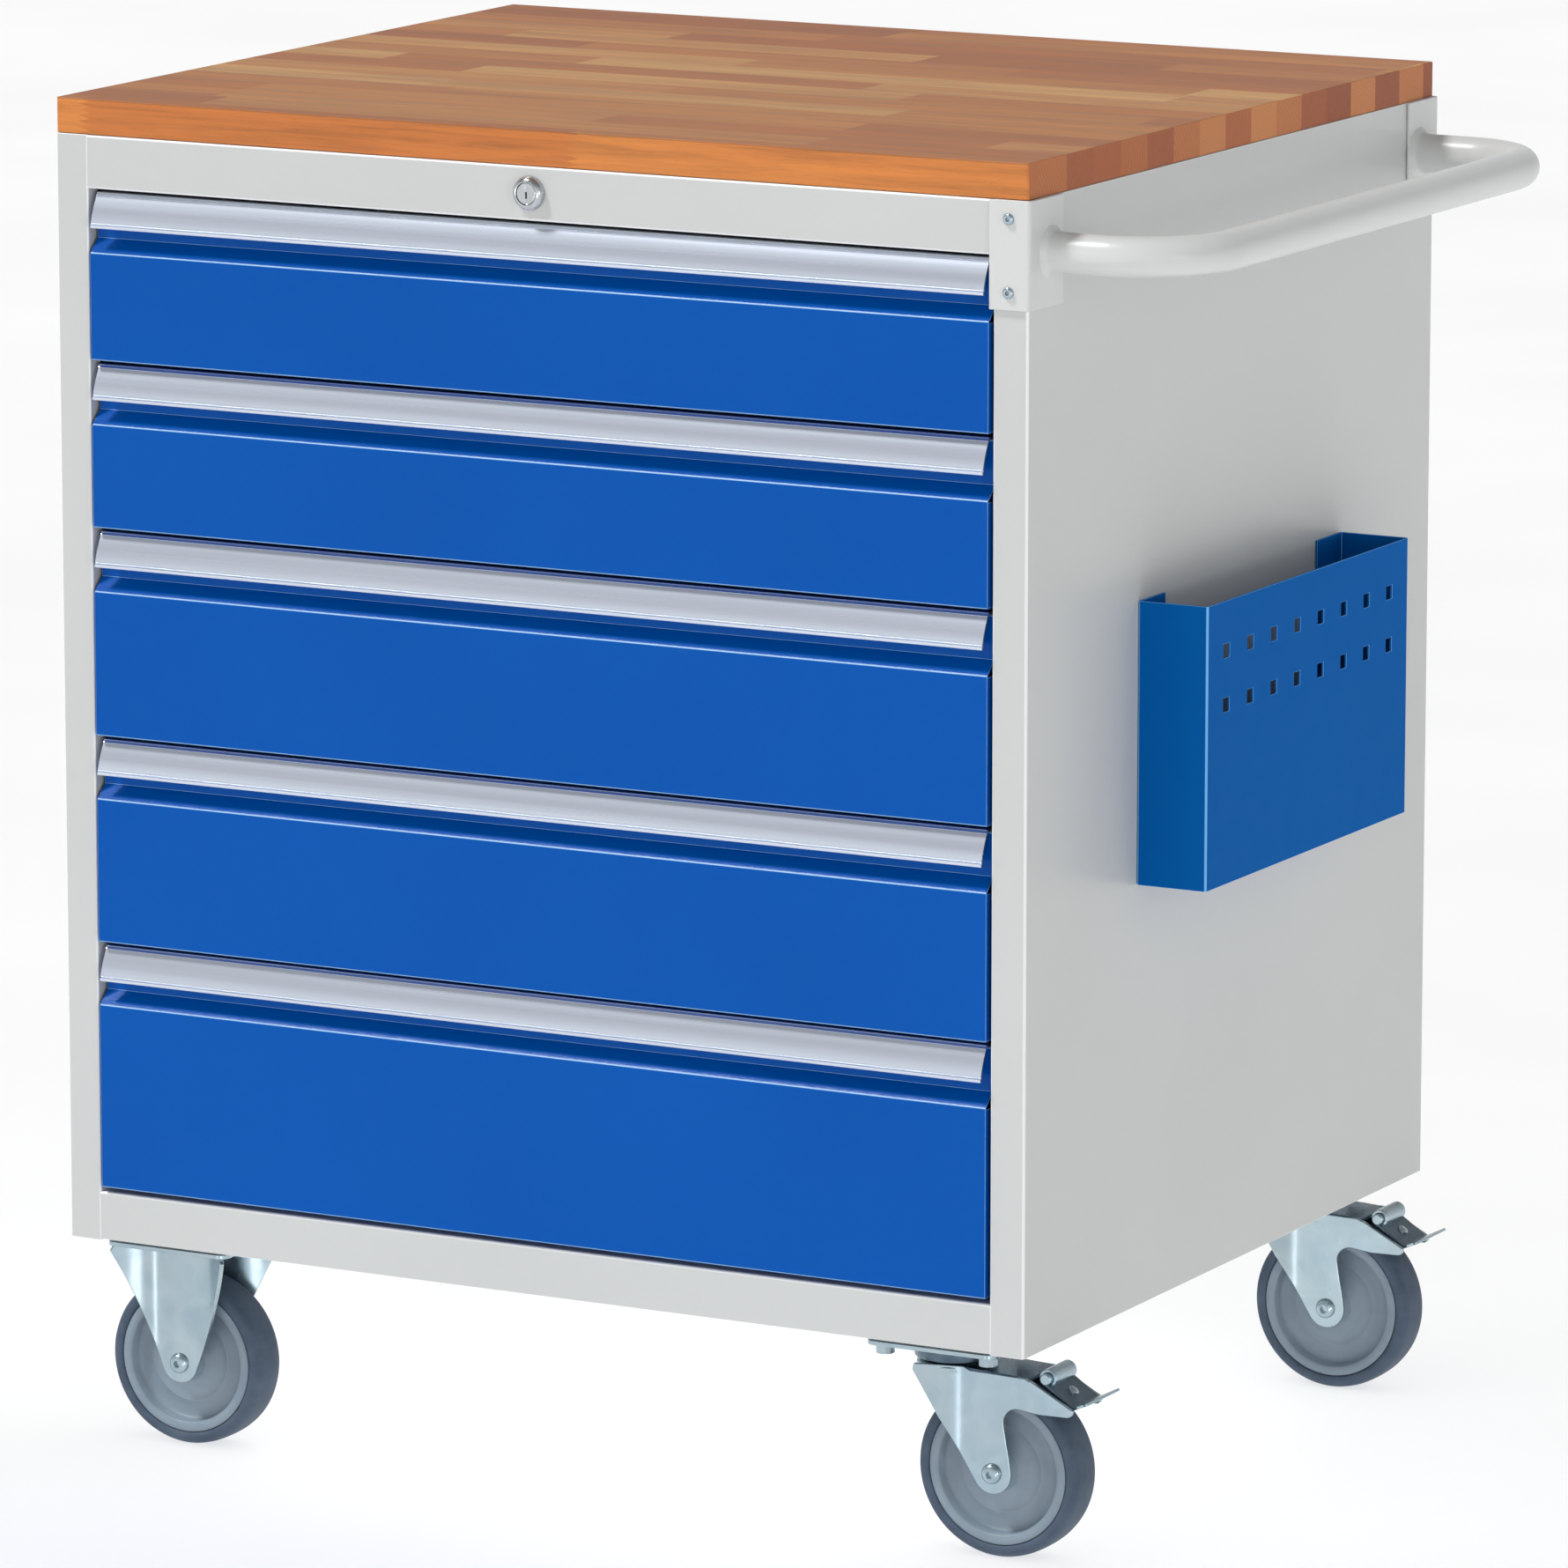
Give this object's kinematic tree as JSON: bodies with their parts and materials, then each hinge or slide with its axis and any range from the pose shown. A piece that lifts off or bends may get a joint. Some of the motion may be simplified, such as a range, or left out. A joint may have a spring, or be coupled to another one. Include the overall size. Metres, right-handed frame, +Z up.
{
  "type": "mobile workbench with drawers",
  "caption": "Sheet-steel drawer cabinet on casters with a beech worktop, aluminium grip strips, central lock, side push handle and document pocket.",
  "frame": {"origin": "centre of the whole object's footprint, on the floor", "axes": "+Z up, +X from the left side towards the push handle, +Y from the drawer fronts towards the back"},
  "size_m": [0.888, 0.6568, 0.98],
  "materials": {
    "body_grey": "fine-texture light grey powder coat",
    "drawer_blue": "fine-texture blue powder coat",
    "beech": "oiled finger-jointed beech staves",
    "grip_aluminium": "satin anodised extrusion",
    "zinc_steel": "bright zinc-plated pressed steel",
    "slide_steel": "galvanised slide steel",
    "lock_chrome": "polished chrome",
    "wheel_plastic": "moulded blue-grey polyamide",
    "tyre_rubber": "smooth dark blue-grey non-marking rubber"
  },
  "bodies": {
    "cabinet": {"worktop": "beech", "side_panel_left": "body_grey", "side_panel_right": "body_grey", "back_panel": "body_grey", "base_panel": "body_grey", "top_panel": "body_grey", "top_rail": "body_grey", "bottom_rail": "body_grey", "push_handle": "body_grey", "document_pocket": "drawer_blue", "runner_frame_left": "slide_steel", "runner_frame_right": "slide_steel", "lock_housing": "lock_chrome", "front_left_fork": "zinc_steel", "front_left_axle": "zinc_steel", "rear_left_fork": "zinc_steel", "rear_left_axle": "zinc_steel", "front_right_plate": "zinc_steel", "rear_right_plate": "zinc_steel"},
    "drawer_1": {"drawer_1_front": "drawer_blue", "drawer_1_grip": "grip_aluminium", "drawer_1_tray": "drawer_blue"},
    "drawer_1_slides": {"drawer_1_slide_left": "slide_steel", "drawer_1_slide_right": "slide_steel"},
    "drawer_2": {"drawer_2_front": "drawer_blue", "drawer_2_grip": "grip_aluminium", "drawer_2_tray": "drawer_blue"},
    "drawer_2_slides": {"drawer_2_slide_left": "slide_steel", "drawer_2_slide_right": "slide_steel"},
    "drawer_3": {"drawer_3_front": "drawer_blue", "drawer_3_grip": "grip_aluminium", "drawer_3_tray": "drawer_blue"},
    "drawer_3_slides": {"drawer_3_slide_left": "slide_steel", "drawer_3_slide_right": "slide_steel"},
    "drawer_4": {"drawer_4_front": "drawer_blue", "drawer_4_grip": "grip_aluminium", "drawer_4_tray": "drawer_blue"},
    "drawer_4_slides": {"drawer_4_slide_left": "slide_steel", "drawer_4_slide_right": "slide_steel"},
    "drawer_5": {"drawer_5_front": "drawer_blue", "drawer_5_grip": "grip_aluminium", "drawer_5_tray": "drawer_blue"},
    "drawer_5_slides": {"drawer_5_slide_left": "slide_steel", "drawer_5_slide_right": "slide_steel"},
    "lock_plug": {"lock_cylinder": "lock_chrome"},
    "lock_hooks": {"lock_bar": "zinc_steel"},
    "front_left_wheel": {"front_left_rim": "wheel_plastic", "front_left_tyre": "tyre_rubber"},
    "front_right_swivel": {"front_right_fork": "zinc_steel", "front_right_axle": "zinc_steel"},
    "front_right_wheel": {"front_right_rim": "wheel_plastic", "front_right_tyre": "tyre_rubber"},
    "front_right_brake": {"front_right_brake_pedal": "zinc_steel"},
    "rear_left_wheel": {"rear_left_rim": "wheel_plastic", "rear_left_tyre": "tyre_rubber"},
    "rear_right_swivel": {"rear_right_fork": "zinc_steel", "rear_right_axle": "zinc_steel"},
    "rear_right_wheel": {"rear_right_rim": "wheel_plastic", "rear_right_tyre": "tyre_rubber"},
    "rear_right_brake": {"rear_right_brake_pedal": "zinc_steel"}
  },
  "joints": [
    {"name": "drawer_1_pull", "type": "slide", "parent": "cabinet", "child": "drawer_1", "axis": [0, -1, 0], "range_m": [0, 0.55]},
    {"name": "drawer_1_slides_travel", "type": "slide", "parent": "cabinet", "child": "drawer_1_slides", "axis": [0, -1, 0], "range_m": [0, 0.276]},
    {"name": "drawer_2_pull", "type": "slide", "parent": "cabinet", "child": "drawer_2", "axis": [0, -1, 0], "range_m": [0, 0.55]},
    {"name": "drawer_2_slides_travel", "type": "slide", "parent": "cabinet", "child": "drawer_2_slides", "axis": [0, -1, 0], "range_m": [0, 0.276]},
    {"name": "drawer_3_pull", "type": "slide", "parent": "cabinet", "child": "drawer_3", "axis": [0, -1, 0], "range_m": [0, 0.55]},
    {"name": "drawer_3_slides_travel", "type": "slide", "parent": "cabinet", "child": "drawer_3_slides", "axis": [0, -1, 0], "range_m": [0, 0.276]},
    {"name": "drawer_4_pull", "type": "slide", "parent": "cabinet", "child": "drawer_4", "axis": [0, -1, 0], "range_m": [0, 0.55]},
    {"name": "drawer_4_slides_travel", "type": "slide", "parent": "cabinet", "child": "drawer_4_slides", "axis": [0, -1, 0], "range_m": [0, 0.276]},
    {"name": "drawer_5_pull", "type": "slide", "parent": "cabinet", "child": "drawer_5", "axis": [0, -1, 0], "range_m": [0, 0.55]},
    {"name": "drawer_5_slides_travel", "type": "slide", "parent": "cabinet", "child": "drawer_5_slides", "axis": [0, -1, 0], "range_m": [0, 0.276]},
    {"name": "lock_turn", "type": "hinge", "parent": "cabinet", "child": "lock_plug", "pos_m": [-0.059, -0.3239, 0.936], "axis": [0, 1, 0], "range_deg": [0, 90.5]},
    {"name": "lock_bar_drop", "type": "slide", "parent": "cabinet", "child": "lock_hooks", "axis": [0, 0, -1], "range_m": [0, 0.008]},
    {"name": "front_left_roll", "type": "hinge", "parent": "cabinet", "child": "front_left_wheel", "pos_m": [-0.372, -0.2689, 0.0625], "axis": [0, 1, 0], "continuous": true},
    {"name": "front_right_swivel_turn", "type": "hinge", "parent": "cabinet", "child": "front_right_swivel", "pos_m": [0.246, -0.2689, 0.134], "axis": [0, 0, 1], "continuous": true},
    {"name": "front_right_roll", "type": "hinge", "parent": "front_right_swivel", "child": "front_right_wheel", "pos_m": [0.286, -0.2689, 0.0625], "axis": [0, 1, 0], "continuous": true},
    {"name": "front_right_brake_press", "type": "hinge", "parent": "front_right_swivel", "child": "front_right_brake", "pos_m": [0.325, -0.2689, 0.133], "axis": [0, 1, 0], "range_deg": [0, 12]},
    {"name": "rear_left_roll", "type": "hinge", "parent": "cabinet", "child": "rear_left_wheel", "pos_m": [-0.372, 0.2711, 0.0625], "axis": [0, 1, 0], "continuous": true},
    {"name": "rear_right_swivel_turn", "type": "hinge", "parent": "cabinet", "child": "rear_right_swivel", "pos_m": [0.246, 0.2711, 0.134], "axis": [0, 0, 1], "continuous": true},
    {"name": "rear_right_roll", "type": "hinge", "parent": "rear_right_swivel", "child": "rear_right_wheel", "pos_m": [0.286, 0.2711, 0.0625], "axis": [0, 1, 0], "continuous": true},
    {"name": "rear_right_brake_press", "type": "hinge", "parent": "rear_right_swivel", "child": "rear_right_brake", "pos_m": [0.325, 0.2711, 0.133], "axis": [0, 1, 0], "range_deg": [0, 12]}
  ],
  "couplings": [
    {"joint": "drawer_1_slides_travel", "follows": "drawer_1_pull", "ratio": 0.5},
    {"joint": "drawer_2_slides_travel", "follows": "drawer_2_pull", "ratio": 0.5},
    {"joint": "drawer_3_slides_travel", "follows": "drawer_3_pull", "ratio": 0.5},
    {"joint": "drawer_4_slides_travel", "follows": "drawer_4_pull", "ratio": 0.5},
    {"joint": "drawer_5_slides_travel", "follows": "drawer_5_pull", "ratio": 0.5},
    {"joint": "lock_turn", "follows": "lock_bar_drop", "rad_per_m": 196.35}
  ]
}
